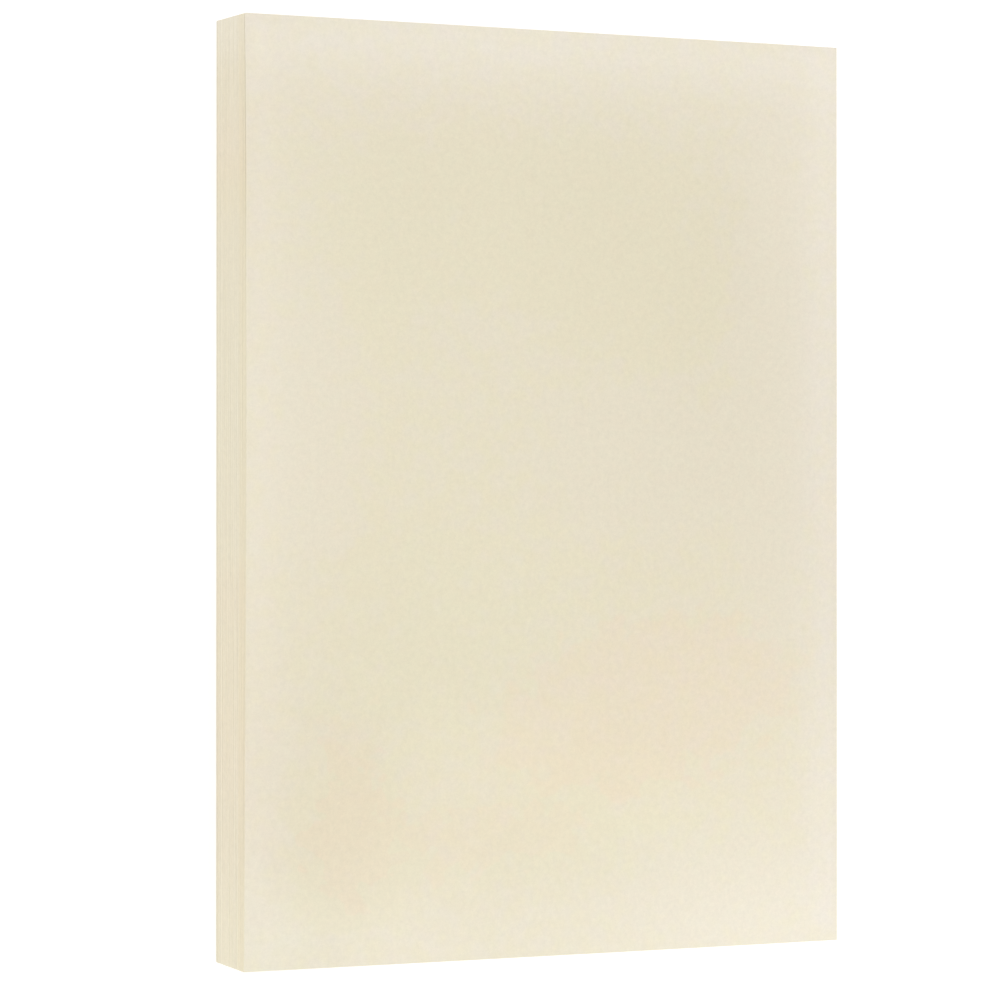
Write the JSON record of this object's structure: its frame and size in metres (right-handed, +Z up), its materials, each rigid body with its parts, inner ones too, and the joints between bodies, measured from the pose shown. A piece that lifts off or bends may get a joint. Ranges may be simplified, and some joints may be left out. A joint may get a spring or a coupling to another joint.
{
  "type": "pack of bristol card stock",
  "caption": "Pack of plain A4 bristol card: loose ivory sheets with a vellum tooth, squared up face to face into one flat stack for drawing, printing and craft work.",
  "frame": {"origin": "middle of the face that the pack lies on, under its bottom sheet", "axes": "+X across the sheets' short side, +Y along their long side, +Z up through the stack to the top sheet"},
  "size_m": [0.2102, 0.2976, 0.0263],
  "materials": {
    "bristol_card": "uncoated vellum surface, warm ivory, matt, with a fine cloudy tooth and clean guillotined edges"
  },
  "bodies": {
    "root": {"top_sheet": "bristol_card", "sheets_002_003": "bristol_card", "sheets_004_005": "bristol_card", "sheets_006_007": "bristol_card", "sheets_008_009": "bristol_card", "sheets_010_011": "bristol_card", "sheets_012_013": "bristol_card", "sheets_014_015": "bristol_card", "sheets_016_017": "bristol_card", "sheets_018_019": "bristol_card", "sheets_020_021": "bristol_card", "sheets_022_023": "bristol_card", "sheets_024_025": "bristol_card", "sheets_026_027": "bristol_card", "sheets_028_029": "bristol_card", "sheets_030_031": "bristol_card", "sheets_032_033": "bristol_card", "sheets_034_035": "bristol_card", "sheets_036_037": "bristol_card", "sheets_038_039": "bristol_card", "sheets_040_041": "bristol_card", "sheets_042_043": "bristol_card", "sheets_044_045": "bristol_card", "sheets_046_047": "bristol_card", "sheets_048_049": "bristol_card", "sheets_050_051": "bristol_card", "sheets_052_053": "bristol_card", "sheets_054_055": "bristol_card", "sheets_056_057": "bristol_card", "sheets_058_059": "bristol_card", "sheets_060_061": "bristol_card", "sheets_062_063": "bristol_card", "sheets_064_065": "bristol_card", "sheets_066_067": "bristol_card", "sheets_068_069": "bristol_card", "sheets_070_071": "bristol_card", "sheets_072_073": "bristol_card", "sheets_074_075": "bristol_card", "sheets_076_077": "bristol_card", "sheets_078_079": "bristol_card", "sheets_080_081": "bristol_card", "sheets_082_083": "bristol_card", "sheets_084_085": "bristol_card", "sheets_086_087": "bristol_card", "sheets_088_089": "bristol_card", "sheets_090_091": "bristol_card", "sheets_092_093": "bristol_card", "sheets_094_095": "bristol_card", "sheets_096_097": "bristol_card", "sheets_098_099": "bristol_card", "bottom_sheet": "bristol_card"}
  },
  "joints": []
}
